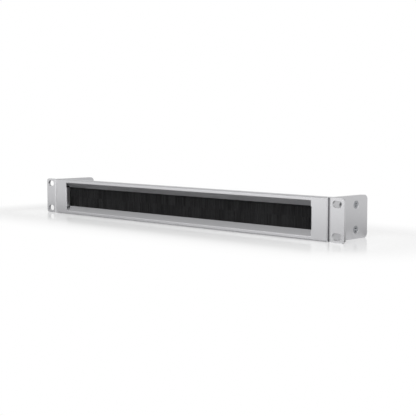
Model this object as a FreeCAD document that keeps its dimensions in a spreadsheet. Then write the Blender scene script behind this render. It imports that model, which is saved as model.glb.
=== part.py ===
# Rack brush strip panel, one rack unit high, for a 19 inch rack.
#
# Every sketch is drawn with X to the right, Y back from the front face and Z up from
# the bottom edge. Each piece is then moved forward by half of the depth, so that the
# part's origin lies on the surface that the panel stands on, under its middle.
import FreeCAD, Part
import math
import os

import Sketcher

DRIVING_SIZES = [
    # Outline of the panel
    ("panel_height", 43.66, "one rack unit less the usual clearance"),
    ("panel_width", 442.2, "front frame between the two ears"),
    ("overall_width", 482.6, "width over both ears"),
    ("overall_depth", 61.0, "front face to the rear edge of the side plates"),
    # Folded front frame
    ("frame_sheet", 1.2, "sheet of the front frame"),
    ("frame_bend", 0.2, "inside radius of its folds"),
    ("return_depth", 10.0, "top and bottom flanges"),
    ("end_depth", 60.0, "end flanges"),
    ("corner_slit", 0.5, "slit between a return flange and an end flange"),
    ("window_width", 400.5, "opening in the face"),
    ("window_rim", 3.96, "face left above and below the opening"),
    ("lip_depth", 5.9, "how far the sloping lips reach back"),
    ("bend_lap", 2.0, "flat left beside the fold of a lip"),
    # Rack ears
    ("ear_sheet", 3.0, "sheet of the ears"),
    ("ear_bend", 1.0, "inside radius of their fold"),
    ("ear_corner", 3.5, "outer corners of an ear"),
    ("plate_corner", 5.0, "rear corners of a side plate and an end flange"),
    ("slot_span", 465.1, "between the slot centres, left to right"),
    ("slot_pitch", 31.75, "between the slot centres, top to bottom"),
    ("slot_length", 11.5, "over its round ends"),
    ("slot_width", 7.0, "height of a slot"),
    # Fixings between the ears and the frame
    ("fixing_front", 18.0, "front pair of holes, behind the face"),
    ("fixing_rear", 42.0, "rear pair of holes, behind the face"),
    ("fixing_pitch", 25.0, "between the holes of a pair"),
    ("large_hole", 4.3, "clearance hole for the large screw"),
    ("large_sink", 8.4, "countersink at the surface"),
    ("large_thread", 4.0, "shank of the large screw"),
    ("large_head", 8.0, "head of the large screw"),
    ("large_length", 8.0, "countersunk screws are measured over all"),
    ("large_recess", 4.4, "length of the cross recess"),
    ("nut_shank", 5.4, "clinch nut, the part in the sheet"),
    ("nut_flats", 7.0, "clinch nut, across the flats of the part behind the sheet"),
    ("nut_height", 2.0, "clinch nut behind the sheet"),
    # Brush rails, screwed under the return flanges
    ("rail_length", 430.0, "rails, channels, wires and bristles"),
    ("rail_front", 1.8, "front edge of the rail behind the face"),
    ("lip_gap", 0.25, "between the rail's sloping front and the back of the lip"),
    ("screw_groove", 2.4, "depth of the groove that the small screws bite into"),
    ("rail_wall", 1.5, "walls above and behind the brush groove"),
    ("rail_mouth", 8.3, "mouth of the groove below the panel's top"),
    ("groove_front", 7.4, "front wall of the groove behind the face"),
    ("groove_width", 4.8, "groove and brush channel"),
    ("rail_pitch", 100.0, "between the small screws"),
    ("rail_screw", 4.3, "small screws behind the face"),
    ("small_sink", 5.4, "countersink of the small screws, right through the sheet"),
    ("small_thread", 3.0, "shank of the small screw, and the groove for it"),
    ("small_head", 5.2, "head of the small screw"),
    ("small_length", 3.5, "small screw over all"),
    # Brushes
    ("channel_sheet", 0.6, "folded channel that grips the bristles"),
    ("channel_mouth", 8.5, "mouth of the channel below the panel's top"),
    ("core_wire", 1.6, "wire that the bristles are folded over"),
    ("clump_pitch", 8.5, "clumps of bristles along the brush"),
    ("clump_relief", 0.5, "depth of the hollows between clumps"),
    ("tip_gap", 0.2, "distance of the trimmed bristle tips from mid-height"),
    ("parting_width", 0.9, "V-shaped partings between some clumps, at the tips"),
    ("parting_depth", 7.0, "the longest of the partings"),
]

SCREW_PLACES = (-2, -1, 0, 1, 2)
NEAR = 1e-4

doc = FreeCAD.newDocument("RackBrushPanel")
sheet = doc.addObject("Spreadsheet::Sheet", "Sizes")
for row, (alias, value, note) in enumerate(DRIVING_SIZES, start=1):
    sheet.set(f"A{row}", alias)
    sheet.set(f"B{row}", str(value))
    sheet.set(f"C{row}", note)
    sheet.setAlias(f"B{row}", alias)
doc.recompute()

subparts = []


def bound(words):
    """Expression text for the sheet: each name of a driving size gets the sheet's name in front."""
    for alias, _, _ in DRIVING_SIZES:
        words = words.replace(alias, f"Sizes.{alias}")
    return words


def value(words):
    """Number that an expression of driving sizes gives now."""
    result = sheet.evalExpression(bound(words))
    return float(getattr(result, "Value", result))


def bind(thing, prop, words):
    thing.setExpression(prop, bound(words))


def place(thing, turn=None, at=("0", "0", "0")):
    """Turn a piece about its own origin and move it from the drawing frame to the part's frame."""
    if turn:
        thing.Placement = FreeCAD.Placement(FreeCAD.Vector(), turn)
    bind(thing, "Placement.Base.x", at[0])
    bind(thing, "Placement.Base.y", f"{at[1]} - overall_depth / 2")
    bind(thing, "Placement.Base.z", at[2])


def finish(thing, label, turn=None, at=("0", "0", "0")):
    """Place a piece and name it as a sub-part."""
    place(thing, turn, at)
    thing.Label = label
    subparts.append(thing)
    return thing


# Sketches and features


def new_sketch(body, name, plane, offset=None):
    """Sketch on one of the body's origin planes, moved along the plane's normal by offset."""
    sketch = body.newObject("Sketcher::SketchObject", name)
    support = [item for item in body.Origin.OriginFeatures if item.Role == plane][0]
    sketch.AttachmentSupport = [(support, "")]
    sketch.MapMode = "FlatFace"
    if offset:
        bind(sketch, "AttachmentOffset.Base.z", offset)
    return sketch


def hold(sketch, index, point, x, y):
    """Fix a point of the sketch at distances from the sketch's origin."""
    for kind, words in (("DistanceX", x), ("DistanceY", y)):
        rule = Sketcher.Constraint(kind, -1, 1, index, point, value(words))
        number = sketch.addConstraint(rule)
        bind(sketch, f"Constraints[{number}]", words)


def outline(sketch, corners):
    """Closed outline of straight sides, each corner held at its named distances."""
    points = [FreeCAD.Vector(value(x), value(y), 0) for x, y in corners]
    first = sketch.GeometryCount
    count = len(points)
    for i in range(count):
        sketch.addGeometry(Part.LineSegment(points[i], points[(i + 1) % count]), False)
    for i in range(count):
        following = first + (i + 1) % count
        sketch.addConstraint(Sketcher.Constraint("Coincident", first + i, 2, following, 1))
        hold(sketch, first + i, 1, *corners[i])


def circle(sketch, x, y, diameter):
    centre = FreeCAD.Vector(value(x), value(y), 0)
    index = sketch.addGeometry(Part.Circle(centre, FreeCAD.Vector(0, 0, 1), value(diameter) / 2), False)
    hold(sketch, index, 3, x, y)
    number = sketch.addConstraint(Sketcher.Constraint("Diameter", index, value(diameter)))
    bind(sketch, f"Constraints[{number}]", diameter)


def slot(sketch, x, y, length, width):
    """Slot with round ends, lying along the sketch's first axis."""
    reach = f"({length} - {width}) / 2"
    radius = value(width) / 2
    up = FreeCAD.Vector(0, 0, 1)
    ends = []
    for side, start in ((-1, math.pi / 2), (1, -math.pi / 2)):
        centre = FreeCAD.Vector(value(x) + side * value(reach), value(y), 0)
        arc = Part.ArcOfCircle(Part.Circle(centre, up, radius), start, start + math.pi)
        ends.append(sketch.addGeometry(arc, False))
        hold(sketch, ends[-1], 3, f"{x} + {side} * {reach}", y)
    left, right = ends
    for a, a_end, b, b_end in ((left, 1, right, 2), (left, 2, right, 1)):
        side = sketch.addGeometry(
            Part.LineSegment(sketch.getPoint(a, a_end), sketch.getPoint(b, b_end)), False
        )
        sketch.addConstraint(Sketcher.Constraint("Tangent", side, 1, a, a_end))
        sketch.addConstraint(Sketcher.Constraint("Tangent", side, 2, b, b_end))
    number = sketch.addConstraint(Sketcher.Constraint("Radius", left, radius))
    bind(sketch, f"Constraints[{number}]", f"{width} / 2")


def pad(body, name, sketch, length, midplane=False, backward=False):
    feature = body.newObject("PartDesign::Pad", name)
    feature.Profile = sketch
    bind(feature, "Length", length)
    feature.Midplane = midplane
    feature.Reversed = backward
    doc.recompute()
    return feature


def pocket(body, name, sketch, length=None, backward=False):
    """Cut to a depth, or right through; it must take something away."""
    before = body.Shape.Volume
    feature = body.newObject("PartDesign::Pocket", name)
    feature.Profile = sketch
    if length:
        bind(feature, "Length", length)
    else:
        feature.Type = "ThroughAll"
    feature.Reversed = backward
    doc.recompute()
    if not body.Shape.Volume < before:
        raise RuntimeError(f"{body.Label}: {name} cuts nothing")
    return feature


def lies(edge, **at):
    """True when the whole edge lies at the given coordinates."""
    box = edge.BoundBox
    spans = {"x": (box.XMin, box.XMax), "y": (box.YMin, box.YMax), "z": (box.ZMin, box.ZMax)}
    return all(abs(low - at[axis]) < NEAR and abs(high - at[axis]) < NEAR
               for axis, (low, high) in spans.items() if axis in at)


def round_edges(body, name, radius, places, kind="PartDesign::Fillet"):
    """Round, or chamfer, the edges that lie at any of the places."""
    base = body.Tip
    names = [f"Edge{number}" for number, edge in enumerate(base.Shape.Edges, start=1)
             if any(lies(edge, **at) for at in places)]
    if not names:
        raise RuntimeError(f"{body.Label}: {name} finds no edge")
    feature = body.newObject(kind, name)
    feature.Base = (base, names)
    bind(feature, "Radius" if kind.endswith("Fillet") else "Size", radius)
    doc.recompute()
    return feature


def countersunk_holes(body, name, sketch, hole, sink, depth, backward=False):
    """Holes at the sketch's circles, with a 90 degree countersink at the sketch's plane."""
    before = body.Shape.Volume
    feature = body.newObject("PartDesign::Hole", name)
    feature.Profile = sketch
    doc.recompute()
    feature.DepthType = "Dimension"
    feature.DrillPoint = "Flat"
    feature.HoleCutType = "Countersink"
    feature.HoleCutCustomValues = True
    feature.HoleCutCountersinkAngle = 90
    feature.Reversed = backward
    bind(feature, "Diameter", hole)
    bind(feature, "HoleCutDiameter", sink)
    bind(feature, "Depth", depth)
    doc.recompute()
    if not body.Shape.Volume < before:
        raise RuntimeError(f"{body.Label}: {name} cuts nothing")
    return feature


def mirrored(source, name, normal, base_z="0"):
    """Mirror image of a piece, through the panel's middle or at its mid-height."""
    copy = doc.addObject("Part::Mirroring", name)
    copy.Source = source
    copy.Normal = FreeCAD.Vector(*normal)
    bind(copy, "Base.z", base_z)
    doc.recompute()
    return copy


def heights(pitch):
    """The two heights of a pair of holes, one above and one below mid-height."""
    return [f"panel_height / 2 + {side} * {pitch} / 2" for side in (-1, 1)]


# Front frame: one sheet, folded


def frame_pan():
    """Face with its return flanges, end flanges, opening and holes."""
    body = doc.addObject("PartDesign::Body", "FramePan")
    edge_x = "panel_width / 2"
    inner_x = "(panel_width / 2 - frame_sheet)"
    fold = "(frame_sheet + frame_bend)"

    sketch = new_sketch(body, "PanOutline", "XZ_Plane")
    outline(sketch, [(f"-{edge_x}", "0"), (edge_x, "0"), (edge_x, "panel_height"),
                     (f"-{edge_x}", "panel_height")])
    pad(body, "PanBlock", sketch, "end_depth", backward=True)
    top = value("panel_height")
    round_edges(body, "PanFolds", fold, [{"y": 0}])

    sketch = new_sketch(body, "PanInside", "XZ_Plane", "-frame_sheet")
    outline(sketch, [(f"-{inner_x}", "frame_sheet"), (inner_x, "frame_sheet"),
                     (inner_x, "panel_height - frame_sheet"),
                     (f"-{inner_x}", "panel_height - frame_sheet")])
    pocket(body, "PanHollow", sketch)
    round_edges(body, "PanInnerFolds", "frame_bend", [{"y": value("frame_sheet")}])

    # Behind the return flanges only the end flanges are left, with a slit beside each fold
    slit_x = f"({inner_x} - corner_slit)"
    sketch = new_sketch(body, "FlangeTrim", "XY_Plane")
    outline(sketch, [(f"-{inner_x}", fold), (f"-{slit_x}", fold), (f"-{slit_x}", "return_depth"),
                     (slit_x, "return_depth"), (slit_x, fold), (inner_x, fold),
                     (inner_x, "end_depth + 1"), (f"-{inner_x}", "end_depth + 1")])
    pocket(body, "OpenBack", sketch, backward=True)
    rear = value("end_depth")
    round_edges(body, "EndCorners", "plate_corner", [{"y": rear, "z": 0}, {"y": rear, "z": top}])

    # The opening is cut wider where the lips and the flaps are folded
    half = "(window_width / 2)"
    low, high = "window_rim", "(panel_height - window_rim)"
    flap_low, flap_high = "(window_rim + lip_depth)", "(panel_height - window_rim - lip_depth)"
    wide = f"({half} + bend_lap)"
    sketch = new_sketch(body, "WindowOutline", "XZ_Plane")
    outline(sketch, [(f"-{half}", f"{low} - bend_lap"), (half, f"{low} - bend_lap"),
                     (half, flap_low), (wide, flap_low), (wide, flap_high), (half, flap_high),
                     (half, f"{high} + bend_lap"), (f"-{half}", f"{high} + bend_lap"),
                     (f"-{half}", flap_high), (f"-{wide}", flap_high), (f"-{wide}", flap_low),
                     (f"-{half}", flap_low)])
    pocket(body, "Window", sketch)

    for name, offset, backward in (("Top", "panel_height", False), ("Bottom", None, True)):
        sketch = new_sketch(body, f"{name}ScrewCentres", "XY_Plane", offset)
        for step in SCREW_PLACES:
            circle(sketch, f"{step} * rail_pitch", "rail_screw", "small_thread")
        countersunk_holes(body, f"{name}Sinks", sketch, "small_thread", "small_sink",
                          "2 * frame_sheet", backward)

    sketch = new_sketch(body, "NutCentres", "YZ_Plane", edge_x)
    for height in heights("fixing_pitch"):
        circle(sketch, "fixing_rear", height, "nut_shank")
    pocket(body, "NutHoles", sketch)
    return body


def frame_lip():
    """Sloping lip along the top of the opening, with the strip of face that it folds from."""
    body = doc.addObject("PartDesign::Body", "FrameLip")
    edge = "(panel_height - window_rim)"
    slant = "(frame_sheet * cos(45))"
    inside = f"({edge} + frame_sheet * tan(22.5))"
    sketch = new_sketch(body, "LipSection", "YZ_Plane")
    outline(sketch, [("0", f"{edge} + bend_lap"), ("0", edge), ("lip_depth", f"{edge} - lip_depth"),
                     (f"lip_depth + {slant}", f"{edge} - lip_depth + {slant}"),
                     ("frame_sheet", inside), ("frame_sheet", f"{edge} + bend_lap")])
    pad(body, "LipStrip", sketch, "window_width", midplane=True)
    round_edges(body, "LipFold", "frame_sheet + frame_bend", [{"y": 0, "z": value(edge)}])
    round_edges(body, "LipInnerFold", "frame_bend",
                [{"y": value("frame_sheet"), "z": value(inside)}])
    return body


def frame_flap():
    """Flap at the right end of the opening, folded straight back."""
    body = doc.addObject("PartDesign::Body", "FrameFlap")
    edge = "(window_width / 2)"
    sketch = new_sketch(body, "FlapSection", "XY_Plane", "window_rim + lip_depth")
    outline(sketch, [(f"{edge} + bend_lap", "0"), (f"{edge} + bend_lap", "frame_sheet"),
                     (f"{edge} + frame_sheet", "frame_sheet"), (f"{edge} + frame_sheet", "lip_depth"),
                     (edge, "lip_depth"), (edge, "0")])
    pad(body, "FlapStrip", sketch, "panel_height - 2 * (window_rim + lip_depth)")
    round_edges(body, "FlapFold", "frame_sheet + frame_bend", [{"x": value(edge), "y": 0}])
    round_edges(body, "FlapInnerFold", "frame_bend",
                [{"x": value(f"{edge} + frame_sheet"), "y": value("frame_sheet")}])
    return body


def front_frame():
    pan = frame_pan()
    lip = frame_lip()
    flap = frame_flap()
    low_lip = mirrored(lip, "LowerLip", (0, 0, 1), "panel_height / 2")
    left_flap = mirrored(flap, "LeftFlap", (1, 0, 0))
    frame = doc.addObject("Part::MultiFuse", "FrontFrame")
    frame.Shapes = [pan, lip, low_lip, flap, left_flap]
    frame.Refine = True
    return finish(frame, "front_frame")


# Rack ears: a thick sheet folded once


def rack_ear():
    body = doc.addObject("PartDesign::Body", "RightBracket")
    inner, outer = "(panel_width / 2)", "(panel_width / 2 + ear_sheet)"
    tip = "(overall_width / 2)"
    sketch = new_sketch(body, "EarSection", "XY_Plane")
    outline(sketch, [(inner, "0"), (tip, "0"), (tip, "ear_sheet"), (outer, "ear_sheet"),
                     (outer, "overall_depth"), (inner, "overall_depth")])
    pad(body, "EarBlock", sketch, "panel_height")
    top = value("panel_height")
    round_edges(body, "EarFold", "ear_sheet + ear_bend", [{"x": value(inner), "y": 0}])
    round_edges(body, "EarInnerFold", "ear_bend", [{"x": value(outer), "y": value("ear_sheet")}])
    round_edges(body, "EarCorners", "ear_corner",
                [{"x": value(tip), "z": 0}, {"x": value(tip), "z": top}])
    rear = value("overall_depth")
    round_edges(body, "PlateCorners", "plate_corner", [{"y": rear, "z": 0}, {"y": rear, "z": top}])

    sketch = new_sketch(body, "SlotOutlines", "XZ_Plane")
    for height in heights("slot_pitch"):
        slot(sketch, "slot_span / 2", height, "slot_length", "slot_width")
    pocket(body, "RackSlots", sketch, "ear_sheet + 1")

    sketch = new_sketch(body, "FixingCentres", "YZ_Plane", outer)
    for distance in ("fixing_front", "fixing_rear"):
        for height in heights("fixing_pitch"):
            circle(sketch, distance, height, "large_hole")
    countersunk_holes(body, "FixingHoles", sketch, "large_hole", "large_sink", "ear_sheet + 1")
    return body


def brackets():
    right = finish(rack_ear(), "right_bracket")
    finish_mirror(right, "left_bracket", (1, 0, 0))


def finish_mirror(source, label, normal, base_z="0"):
    """Mirror image of a finished piece, as a piece of its own that is already in place."""
    name = "".join(word.capitalize() for word in label.split("_"))
    copy = mirrored(source, name, normal, base_z)
    copy.Label = label
    subparts.append(copy)
    return copy


# Brush rails: a bar with two grooves, screwed under each return flange. Its front slopes along
# the back of the lip, and it is longer than the opening, so it closes the notches at the corners.


def brush_rails():
    body = doc.addObject("PartDesign::Body", "UpperBrushRail")
    top = "(panel_height - frame_sheet)"
    mouth = "(panel_height - rail_mouth)"
    slope = ("(panel_height - window_rim + frame_sheet * (1 + tan(22.5))"
             " + lip_gap / cos(45))")
    ceiling = f"({top} - rail_wall)"
    rear = "(groove_front + groove_width)"
    bite_front = "(rail_screw - small_thread / 2)"
    bite_rear = "(rail_screw + small_thread / 2)"
    bite_floor = f"({top} - screw_groove)"
    sketch = new_sketch(body, "RailSection", "YZ_Plane")
    outline(sketch, [("rail_front", top), ("rail_front", f"{slope} - rail_front"),
                     (f"{slope} - {mouth}", mouth), ("groove_front", mouth),
                     ("groove_front", ceiling), (rear, ceiling), (rear, mouth),
                     (f"{rear} + rail_wall", mouth), (f"{rear} + rail_wall", top),
                     (bite_rear, top), (bite_rear, bite_floor), (bite_front, bite_floor),
                     (bite_front, top)])
    pad(body, "RailBar", sketch, "rail_length", midplane=True)
    finish(body, "upper_brush_rail")
    finish_mirror(body, "lower_brush_rail", (0, 0, 1), "panel_height / 2")


# Brushes: channel, core wire and bristles


def brush_channels():
    body = doc.addObject("PartDesign::Body", "UpperBrushChannel")
    ceiling = "(panel_height - frame_sheet - rail_wall)"
    mouth = "(panel_height - channel_mouth)"
    front, rear = "groove_front", "(groove_front + groove_width)"
    sketch = new_sketch(body, "ChannelSection", "YZ_Plane")
    outline(sketch, [(front, mouth), (front, ceiling), (rear, ceiling), (rear, mouth),
                     (f"{rear} - channel_sheet", mouth),
                     (f"{rear} - channel_sheet", f"{ceiling} - channel_sheet"),
                     (f"{front} + channel_sheet", f"{ceiling} - channel_sheet"),
                     (f"{front} + channel_sheet", mouth)])
    pad(body, "ChannelStrip", sketch, "rail_length", midplane=True)
    high = value(ceiling)
    round_edges(body, "ChannelFolds", "1.5 * channel_sheet",
                [{"y": value(front), "z": high}, {"y": value(rear), "z": high}])
    finish(body, "upper_brush_channel")
    finish_mirror(body, "lower_brush_channel", (0, 0, 1), "panel_height / 2")


def wire_height():
    """Height of the wire's centre: as much bristle lies over the wire as beside it."""
    return ("(panel_height - frame_sheet - rail_wall - channel_sheet"
            " - (groove_width - 2 * channel_sheet) / 2)")


def core_wires():
    for label, height in (("upper_core_wire", wire_height()),
                          ("lower_core_wire", f"panel_height - {wire_height()}")):
        wire = doc.addObject("Part::Cylinder", label.title().replace("_", ""))
        bind(wire, "Radius", "core_wire / 2")
        bind(wire, "Height", "rail_length")
        along_x = FreeCAD.Rotation(FreeCAD.Vector(0, 1, 0), 90)
        finish(wire, label, along_x, ("-rail_length / 2", "groove_front + groove_width / 2", height))


def spread(number):
    """Repeatable value from 0 to 1 that differs from one clump of bristles to the next."""
    wave = math.sin(number * 12.9898) * 43.758
    return wave - math.floor(wave)


def brush_solid(seed):
    """Upper brush: bristles folded over the wire, held in the channel and trimmed level."""
    half = value("rail_length / 2")
    front = value("groove_front + channel_sheet")
    rear = value("groove_front + groove_width - channel_sheet")
    root = value("panel_height - frame_sheet - rail_wall - channel_sheet")
    mouth = value("panel_height - channel_mouth")
    tips = value("panel_height / 2 + tip_gap")
    count = round(value("rail_length / clump_pitch"))
    pitch = 2 * half / count

    # Plan of the free bristles: a shallow hollow between each two clumps, front and back
    plan = []
    for i in range(2 * count + 1):
        inset = value("clump_relief") * (1 - i % 2) * (0.5 + 0.5 * spread(i + seed))
        plan.append((-half + i * pitch / 2, inset))
    ring = [FreeCAD.Vector(x, front + inset, tips) for x, inset in plan]
    ring += [FreeCAD.Vector(x, rear - inset, tips) for x, inset in reversed(plan)]
    free = Part.Face(Part.makePolygon(ring + ring[:1])).extrude(FreeCAD.Vector(0, 0, mouth - tips))

    # Some clumps have parted at the tips
    partings = []
    wide = value("parting_width / 2")
    through = FreeCAD.Vector(0, rear - front + 2, 0)
    for i in range(2, count - 1, 3):
        x = -half + (i + round(2 * spread(i + seed))) * pitch
        high = value("parting_depth") * (0.4 + 0.6 * spread(2 * i + seed))
        ring = [FreeCAD.Vector(x - wide, front - 1, tips - 1), FreeCAD.Vector(x, front - 1, tips + high),
                FreeCAD.Vector(x + wide, front - 1, tips - 1)]
        partings.append(Part.Face(Part.makePolygon(ring + ring[:1])).extrude(through))

    held = Part.makeBox(2 * half, rear - front, root - mouth, FreeCAD.Vector(-half, front, mouth))
    bore = Part.makeCylinder(value("core_wire / 2"), 2 * half,
                             FreeCAD.Vector(-half, (front + rear) / 2, value(wire_height())),
                             FreeCAD.Vector(1, 0, 0))
    return held.cut(bore).fuse(free.cut(partings)).removeSplitter()


def bristles():
    middle = value("panel_height / 2")
    for label, seed, flip in (("upper_bristles", 1, False), ("lower_bristles", 401, True)):
        solid = brush_solid(seed)
        if flip:
            solid = solid.mirror(FreeCAD.Vector(0, 0, middle), FreeCAD.Vector(0, 0, 1))
        brush = doc.addObject("Part::Feature", label.title().replace("_", ""))
        brush.Shape = solid
        finish(brush, label)


# Fasteners


def turned(body, name, corners):
    """Solid turned from a half section, drawn with the radius along X and the axis along Z."""
    sketch = new_sketch(body, f"{name}Section", "XZ_Plane")
    outline(sketch, corners)
    feature = body.newObject("PartDesign::Revolution", name)
    feature.Profile = sketch
    feature.ReferenceAxis = (sketch, ["V_Axis"])
    feature.Angle = 360
    doc.recompute()
    return feature


def countersunk_screw(name, size):
    """Countersunk screw, its head just under the surface, its axis along Z and its head up."""
    body = doc.addObject("PartDesign::Body", name)
    head, shank = f"({size}_head / 2)", f"({size}_thread / 2)"
    top = f"(({size}_sink - {size}_head) / 2)"
    turned(body, "Blank", [("0", f"-{top}"), (head, f"-{top}"),
                           (shank, f"-{top} - ({head} - {shank})"), (shank, f"-{size}_length"),
                           ("0", f"-{size}_length")])
    return body


def cross_recess(body):
    """Recess for the driver in the head of a large screw."""
    arm, thin = "(large_recess / 2)", "(large_recess / 8)"
    sketch = new_sketch(body, "RecessOutline", "XY_Plane")
    outline(sketch, [(arm, f"-{thin}"), (arm, thin), (thin, thin), (thin, arm), (f"-{thin}", arm),
                     (f"-{thin}", thin), (f"-{arm}", thin), (f"-{arm}", f"-{thin}"),
                     (f"-{thin}", f"-{thin}"), (f"-{thin}", f"-{arm}"), (thin, f"-{arm}"),
                     (thin, f"-{thin}")])
    pocket(body, "CrossRecess", sketch, "large_recess / 2")


def clinch_nut(name):
    """Nut pressed into an end flange: its shank fills the hole, its hexagon is behind the sheet."""
    body = doc.addObject("PartDesign::Body", name)
    across = "(nut_flats / 2)"
    corner = "(nut_flats / 2 / cos(30))"
    sketch = new_sketch(body, "Hexagon", "XY_Plane", "-frame_sheet")
    outline(sketch, [(across, f"{corner} / 2"), ("0", corner), (f"-{across}", f"{corner} / 2"),
                     (f"-{across}", f"-{corner} / 2"), ("0", f"-{corner}"),
                     (across, f"-{corner} / 2")])
    pad(body, "NutBody", sketch, "nut_height", backward=True)
    for feature, diameter, length in (("Shank", "nut_shank", "frame_sheet"),
                                      ("Bore", "large_thread", None)):
        sketch = new_sketch(body, f"{feature}Circle", "XY_Plane")
        circle(sketch, "0", "0", diameter)
        if length:
            pad(body, feature, sketch, length, backward=True)
        else:
            pocket(body, feature, sketch)
    return body


def bracket_fixings():
    """Two screws and two clinch nuts at each end, with their heads outwards."""
    for side, sign in (("left", -1), ("right", 1)):
        outward = FreeCAD.Rotation(FreeCAD.Vector(0, 1, 0), 90 * sign)
        for level, height in zip(("lower", "upper"), heights("fixing_pitch")):
            name = f"{side.capitalize()}{level.capitalize()}"
            screw = countersunk_screw(f"{name}Screw", "large")
            cross_recess(screw)
            finish(screw, f"{side}_{level}_bracket_screw", outward,
                   (f"{sign} * (panel_width / 2 + ear_sheet)", "fixing_rear", height))
            finish(clinch_nut(f"{name}Nut"), f"{side}_{level}_clinch_nut", outward,
                   (f"{sign} * panel_width / 2", "fixing_rear", height))


def rail_screws():
    """A row of small screws down through the top flange, and its mirror image at the bottom."""
    row = []
    for number, step in enumerate(SCREW_PLACES, start=1):
        screw = countersunk_screw(f"RailScrew{number}", "small")
        place(screw, None, (f"{step} * rail_pitch", "rail_screw", "panel_height"))
        row.append(screw)
    group = doc.addObject("Part::Compound", "UpperRailScrews")
    group.Links = row
    group.Label = "upper_rail_screws"
    subparts.append(group)
    finish_mirror(group, "lower_rail_screws", (0, 0, 1), "panel_height / 2")


def check_and_write():
    """Stop on any failed object; then write one file for each sub-part."""
    doc.recompute()
    for item in doc.Objects:
        if "Invalid" in item.State or "Error" in item.State:
            raise RuntimeError(f"{item.Label} has failed: {item.State}")
    for item in subparts:
        if item.Shape.isNull() or not item.Shape.isValid():
            raise RuntimeError(f"{item.Label} has no valid shape")
    os.makedirs("parts", exist_ok=True)
    for item in subparts:
        item.Shape.exportStep(f"parts/{item.Label}.step")
        solids = len(item.Shape.Solids)
        print(f"{item.Label}: {solids} solid, {item.Shape.Volume / 1000:.2f} cm3")


front_frame()
brackets()
brush_rails()
brush_channels()
core_wires()
bristles()
bracket_fixings()
rail_screws()
check_and_write()
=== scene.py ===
import math
import random

import bmesh
import bpy
import numpy as np
from mathutils import Matrix, Vector


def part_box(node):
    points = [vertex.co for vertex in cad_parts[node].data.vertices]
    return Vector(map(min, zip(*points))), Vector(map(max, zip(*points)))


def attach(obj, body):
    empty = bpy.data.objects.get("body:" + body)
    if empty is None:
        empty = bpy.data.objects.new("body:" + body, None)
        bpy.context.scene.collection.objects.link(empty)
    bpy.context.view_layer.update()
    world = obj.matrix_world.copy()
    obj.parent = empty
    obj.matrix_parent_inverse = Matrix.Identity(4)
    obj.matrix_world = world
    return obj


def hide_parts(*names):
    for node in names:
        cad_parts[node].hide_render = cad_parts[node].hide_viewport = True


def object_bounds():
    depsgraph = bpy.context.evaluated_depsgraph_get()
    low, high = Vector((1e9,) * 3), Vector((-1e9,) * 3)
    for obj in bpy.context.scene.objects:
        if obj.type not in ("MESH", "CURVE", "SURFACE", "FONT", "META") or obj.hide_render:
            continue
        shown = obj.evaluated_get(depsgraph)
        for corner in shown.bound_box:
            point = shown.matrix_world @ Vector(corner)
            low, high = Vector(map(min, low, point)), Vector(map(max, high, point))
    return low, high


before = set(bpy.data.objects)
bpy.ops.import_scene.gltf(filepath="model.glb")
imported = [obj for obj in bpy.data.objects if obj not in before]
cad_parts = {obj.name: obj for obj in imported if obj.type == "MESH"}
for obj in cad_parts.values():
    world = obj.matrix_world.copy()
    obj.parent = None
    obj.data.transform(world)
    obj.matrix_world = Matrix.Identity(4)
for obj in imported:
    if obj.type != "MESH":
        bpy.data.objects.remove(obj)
CAD_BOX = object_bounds()

bl_info = {
    "name": "Rack Brush Strip Panel",
    "version": (1, 0, 0),
    "blender": (4, 5, 0),
    "location": "3D View > Sidebar > Brush Panel",
    "description": "Dresses a one-unit rack panel with a bristle-filled cable window",
    "category": "Object",
}

MM = 0.001
BODY = "root"
SIDES = ("left", "right")
LEVELS = ("lower", "upper")

# Colours as they are seen, in sRGB
SILVER_GREY_PAINT = "#CACACC"
ANODISED_SILVER = "#EEEFF0"
ROLLED_ALUMINIUM = "#BFC1C3"
ZINC_PLATE = "#9D9FA2"
BLACK_NYLON = "#2C2C2D"
# Nylon of the packed core, darkened by painted shade for the little light between pressed filaments
PACKED_NYLON_WITH_SHADE = "#151516"
STUDIO_WHITE = "#FFFFFF"
# The floor as it is seen, as it gives fill light, and the dark part that the lips mirror
FLOOR_WHITE = "#F9F9F9"
FLOOR_FILL = "#959595"
FLOOR_DARK = "#101010"


def linear(hex_colour):
    """Linear colour, as the sockets take it, of an sRGB hex value."""
    channels = [int(hex_colour[i:i + 2], 16) / 255 for i in (1, 3, 5)]
    return tuple(c / 12.92 if c <= 0.04045 else ((c + 0.055) / 1.055) ** 2.4 for c in channels)


# Sizes and colours that a user would change


class PaintSettings(bpy.types.PropertyGroup):
    colour: bpy.props.FloatVectorProperty(
        name="Paint colour", description="Powder coat of the frame and the ears",
        subtype="COLOR", min=0, max=1, default=linear(SILVER_GREY_PAINT))
    peel_size: bpy.props.FloatProperty(
        name="Orange peel", description="Width of the shallow waves in the cured powder",
        subtype="DISTANCE", unit="LENGTH", default=1.4 * MM)
    roughness: bpy.props.FloatProperty(
        name="Roughness", description="0 is glossy, 1 is matt",
        subtype="FACTOR", min=0, max=1, default=0.47)
    flake: bpy.props.FloatProperty(
        name="Metal flake", description="Share of the light that the aluminium flakes reflect",
        subtype="FACTOR", min=0, max=1, default=1.0)


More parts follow.
